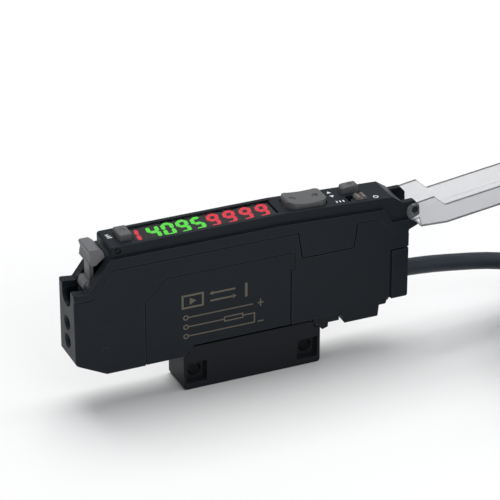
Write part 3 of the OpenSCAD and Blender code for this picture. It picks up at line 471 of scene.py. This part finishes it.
# Each finish: its tint, the tint of its clouds, and its roughness, or its power where it is lit
# Lighter edge tints are worn edges and a painted highlight along them; the clear cover's dark edge tint is
# painted shade
blackCase = mouldedFinish("blackCase", (0.0092, 0.0122, 0.0162), (0.0122, 0.0157, 0.0203), 0.4,
                          edgeWearAndPaintedLight=(0.055, 0.06, 0.07), sheen=0.12)
finishes = {
    "black_case": blackCase,
    "black_bracket": mouldedFinish("blackBracket", (0.0095, 0.0112, 0.0138), (0.0125, 0.0148, 0.0178), 0.48,
                                   edgeWearAndPaintedLight=(0.036, 0.038, 0.041), sheen=0.12),
    "clear_cover": clearFinish("clearCover", (0.96, 0.96, 0.97), (0.99, 0.99, 1.0), 0.1, clear=0.92,
                               soak=400, soakTint=(0.5, 0.5, 0.54), edgeWearAndPaintedLight=(0.05, 0.05, 0.06)),
    "grey_lever": mouldedFinish("greyLever", (0.122, 0.123, 0.13), (0.144, 0.145, 0.152), 0.45,
                                edgeWearAndPaintedLight=(0.2, 0.2, 0.2)),
    "inner_plastic": mouldedFinish("innerPlastic", (0.02, 0.021, 0.023), (0.028, 0.029, 0.03), 0.5),
    "device_plastic": mouldedFinish("devicePlastic", (0.09, 0.05, 0.05), (0.12, 0.06, 0.06), 0.25,
                                    grain=1200),
    "smoked_window": clearFinish("smokedWindow", (0.19, 0.195, 0.22), (0.21, 0.215, 0.24), 0.07,
                                 sheen=0.15),
    "lit_green": litFinish("litGreen", (0.13, 0.97, 0.055), (0.1, 0.86, 0.04), 4.6),
    "lit_red": litFinish("litRed", (1.0, 0.028, 0.055), (0.88, 0.02, 0.042), 4.6),
    "circuit_board": boardFinish("circuitBoard"),
    "contact_metal": metalFinish("contactMetal", (0.7, 0.66, 0.58), (0.8, 0.77, 0.7), 0.3),
    "grey_key": mouldedFinish("greyKey", (0.09, 0.091, 0.094), (0.106, 0.107, 0.11), 0.5,
                              edgeWearAndPaintedLight=(0.17, 0.17, 0.175)),
    "knob_plastic": mouldedFinish("knobPlastic", (0.128, 0.116, 0.113), (0.152, 0.138, 0.135), 0.5,
                                  edgeWearAndPaintedLight=(0.3, 0.275, 0.265)),
    "core_plastic": mouldedFinish("corePlastic", (0.1, 0.045, 0.02), (0.13, 0.06, 0.03), 0.4),
    "cable_rubber": mouldedFinish("cableRubber", (0.025, 0.032, 0.043), (0.032, 0.041, 0.053), 0.45,
                                  grain=2400),
    "tie_plastic": mouldedFinish("tiePlastic", (0.6, 0.595, 0.58), (0.67, 0.665, 0.65), 0.35),
}
coreBlue = mouldedFinish("coreBlue", (0.02, 0.06, 0.28), (0.03, 0.08, 0.34), 0.4)
coreBlack = mouldedFinish("coreBlack", (0.012, 0.012, 0.013), (0.018, 0.018, 0.02), 0.4)
whiteInk = mouldedFinish("whiteInk", (0.66, 0.68, 0.72), (0.78, 0.8, 0.83), 0.6, grain=6000)
displayFace = mouldedFinish("displayFace", (0.018, 0.019, 0.022), (0.023, 0.024, 0.028), 0.6, sheen=0.05)
switchCan = metalFinish("switchCan", (0.07, 0.07, 0.072), (0.1, 0.1, 0.102), 0.5)
laserMark = mouldedFinish("laserMark", (0.1, 0.09, 0.07), (0.14, 0.126, 0.098), 0.7, grain=6000)
print("finishes:", len(finishes))

# Each CAD node takes its slot's finish or its own
nodeSlots = {row["node"]: row["material_slot"] for row in frame["record"]["subparts"]}
ownFinish = dict(display_module=displayFace, slide_switch=switchCan)
coreFinish = dict(coreBrown=finishes["core_plastic"], coreBlack=coreBlack, coreBlue=coreBlue)
# The small radius that a mould leaves. The shells and the knob have edges too short for it,
# so their bevel shrinks to nothing and only their shading is smoothed
edgeRadius = dict(lower_case=0.18, upper_case=0.18, end_block=0.2, mounting_bracket=0.2, rail_claw=0.12,
                  dust_cover=0.1, fibre_lock_lever=0.3, set_button=0.4, rocker_button=0.45, mode_button=0.4,
                  slide_knob=0.15, display_window=0.06, cable_bush=0.12)
tieEdge = 0.15
edgeSteps = dict(weld=0.001, flatAngle=0.5, sharpAngle=32, segments=3, clean=0.003, weight=80)


def setMaterial(piece, material):
    piece.data.materials.clear()
    piece.data.materials.append(material)


def roundEdges(piece, radius):
    weld = piece.modifiers.new("weld", "WELD")
    weld.merge_threshold = edgeSteps["weld"] * mm
    flats = piece.modifiers.new("joinFlats", "DECIMATE")
    flats.decimate_type = "DISSOLVE"
    flats.angle_limit = math.radians(edgeSteps["flatAngle"])
    bevel = piece.modifiers.new("roundEdges", "BEVEL")
    bevel.width = radius * mm
    bevel.segments = edgeSteps["segments"]
    bevel.limit_method = "ANGLE"
    bevel.angle_limit = math.radians(edgeSteps["sharpAngle"])
    clean = piece.modifiers.new("cleanCorners", "WELD")
    clean.merge_threshold = edgeSteps["clean"] * mm
    normals = piece.modifiers.new("normals", "WEIGHTED_NORMAL")
    normals.weight = edgeSteps["weight"]


for name, piece in nodes.items():
    setMaterial(piece, ownFinish.get(name, finishes[nodeSlots[name]]))
    if name in edgeRadius:
        roundEdges(piece, edgeRadius[name])
setMaterial(cablePiece, finishes["cable_rubber"])
setMaterial(tiePiece, finishes["tie_plastic"])
roundEdges(tiePiece, tieEdge)
for piece in corePieces:
    setMaterial(piece, coreFinish.get(piece.name, finishes["contact_metal"]))
print("CAD nodes dressed")

# Signs on the case, in plain strokes, each in its own plane from its place: side, top or sloping panel.
# Bars are x, y, width and height, frames have a line too, rings are x, y, radius and line,
# and triangles are x, y, radius and angle
caseX = -41.4
panelTilt = 2.7
signTurns = dict(side=Matrix.Rotation(math.radians(90), 4, "X"), top=Matrix.Identity(4),
                 panel=Matrix.Rotation(math.radians(panelTilt), 4, "Y"))
ringSides = 32
signs = [
    dict(name="wiringSign", material=laserMark, face="side", place=(24.6, -4.68, 12.9), thick=0.02,
         bars=[(10.0, 10.2, 5.2, 0.42), (9.3, 8.4, 5.2, 0.42), (15.2, 9.3, 0.6, 3.4),
               (9.2, 5.4, 15.2, 0.28), (5.75, 3.1, 8.3, 0.28), (15.9, 3.1, 2.8, 0.28),
               (9.45, 0.8, 15.7, 0.28), (18.6, 5.4, 1.4, 0.3), (18.6, 5.925, 0.3, 0.75),
               (18.6, 4.875, 0.3, 0.75), (18.6, 0.8, 1.4, 0.3), (17.14, 1.95, 0.3, 2.02)],
         frames=[(2.6, 9.3, 5.2, 3.4, 0.45), (12.2, 3.1, 4.6, 1.3, 0.28)],
         rings=[(0.95, 5.4, 0.65, 0.28), (0.95, 3.1, 0.65, 0.28), (0.95, 0.8, 0.65, 0.28)],
         triangles=[(2.4, 9.3, 1.0, 0), (7.1, 10.2, 0.62, 180), (12.3, 8.4, 0.62, 0)]),
    dict(name="fibreArrows", material=blackCase, face="side", place=(5.6, -4.9, 14.6), thick=0.06,
         bars=[(0.55, 5.7, 1.1, 0.32), (1.35, 0.6, 1.1, 0.32)],
         triangles=[(1.5, 5.7, 0.6, 0), (0.4, 0.6, 0.6, 180)]),
    dict(name="setSign", material=whiteInk, face="top", place=(10.2, 0.5, 38.7), thick=0.02,
         bars=[(-0.1, 1.15, 0.7, 0.34), (0, 0.45, 0.9, 0.34), (0.1, -0.25, 1.1, 0.34)]),
    dict(name="stepSigns", material=whiteInk, face="panel", place=(48.4, 0, 38.7), thick=0.02,
         bars=[(13.9, -2.6, 0.3, 0.8), (14.7, -2.6, 0.3, 0.8), (15.5, -2.6, 0.3, 0.8)],
         rings=[(23.2, -2.9, 0.62, 0.24)],
         triangles=[(14.1, 2.2, 0.62, 90), (14.1, 0.4, 0.62, 270)]),
]


def signFace(look):
    x, y, z = look["place"]
    return Matrix.Scale(mm, 4) @ Matrix.Translation((x + caseX, y, z)) @ signTurns[look["face"]]


def addBar(shape, x, y, wide, high):
    verts = bmesh.ops.create_grid(shape, x_segments=1, y_segments=1, size=0.5)["verts"]
    bmesh.ops.scale(shape, vec=(wide, high, 1), verts=verts)
    bmesh.ops.translate(shape, vec=(x, y, 0), verts=verts)
    return verts


def addDisc(shape, x, y, radius, sides, angle=0):
    verts = bmesh.ops.create_circle(shape, cap_ends=True, segments=sides, radius=radius)["verts"]
    turn = Matrix.Rotation(math.radians(angle), 3, "Z")
    bmesh.ops.rotate(shape, cent=(0, 0, 0), matrix=turn, verts=verts)
    bmesh.ops.translate(shape, vec=(x, y, 0), verts=verts)
    return verts


def makeSign(look):
    shape = bmesh.new()
    for x, y, wide, high in look.get("bars", []):
        addBar(shape, x, y, wide, high)
    for x, y, wide, high, line in look.get("frames", []):
        openStroke(shape, addBar(shape, x, y, wide, high), line)
    for x, y, radius, line in look.get("rings", []):
        openStroke(shape, addDisc(shape, x, y, radius, ringSides), line)
    for x, y, radius, angle in look.get("triangles", []):
        addDisc(shape, x, y, radius, 3, angle - 90)  # its first corner points up the page
    thicken(shape, (0, 0, look["thick"]))
    piece = finishShape(shape, look["name"], signFace(look))
    setMaterial(piece, look["material"])
    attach(piece, "case")


for look in signs:
    makeSign(look)
print("signs:", len(signs))

# Floor, lamps and world
floorLook = dict(size=12, drop=0.00005, tint=(0.874, 0.873, 0.87), cloudShare=1.02, cloudScale=3,
                 cloudDetail=2, rough=0.7, sheen=0.2)
worldLook = dict(tint=(0.97, 0.985, 1.01), power=0.43)
lamps = [
    dict(name="topBox", place=(0.06, 0.42, 1.2), aim=(0.02, 0, 0), size=(1.1, 0.95), power=12.3),
    dict(name="rightBox", place=(0.9, 0, 0.65), aim=(0, 0, 0.02), size=(0.6, 0.6), power=1.6),
    dict(name="frontBox", place=(0.12, -0.6, 0.42), aim=(0.03, 0, 0.02), size=(0.4, 0.3), power=0.8),
]


def makeFloor():
    shape = bmesh.new()
    bmesh.ops.create_grid(shape, x_segments=1, y_segments=1, size=floorLook["size"] / 2)
    mesh = bpy.data.meshes.new("floor")
    shape.to_mesh(mesh)
    shape.free()
    floor = bpy.data.objects.new("floor", mesh)
    bpy.context.scene.collection.objects.link(floor)
    floor.location.z = -floorLook["drop"]
    material, tree, shader = startMaterial("paleFloor")
    place = addNode(tree, "ShaderNodeTexCoord")
    clouds = addNode(tree, "ShaderNodeTexNoise",
                     {"Scale": floorLook["cloudScale"], "Detail": floorLook["cloudDetail"]},
                     {"Vector": place.outputs["Object"]})
    paler = tuple(c * floorLook["cloudShare"] for c in floorLook["tint"])
    tone = mixColours(tree, clouds.outputs["Fac"], floorLook["tint"], paler)
    tree.links.new(tone, shader.inputs["Base Color"])
    shader.inputs["Roughness"].default_value = floorLook["rough"]
    shader.inputs["Specular IOR Level"].default_value = floorLook["sheen"]
    setMaterial(floor, material)


def makeLamp(look):
    data = bpy.data.lights.new(look["name"], "AREA")
    data.shape = "RECTANGLE"
    data.size, data.size_y = look["size"]
    data.energy = look["power"]
    lamp = bpy.data.objects.new(look["name"], data)
    lamp.location = look["place"]
    towards = Vector(look["aim"]) - Vector(look["place"])
    lamp.rotation_euler = towards.to_track_quat("-Z", "Y").to_euler()
    bpy.context.scene.collection.objects.link(lamp)


def makeWorld():
    world = bpy.data.worlds.new("studio")
    bpy.context.scene.world = world
    world.use_nodes = True
    background = world.node_tree.nodes["Background"]
    background.inputs["Color"].default_value = (*worldLook["tint"], 1)
    background.inputs["Strength"].default_value = worldLook["power"]


makeFloor()
for look in lamps:
    makeLamp(look)
makeWorld()
bpy.context.scene.view_settings.view_transform = "Standard"
print("stage and light set")
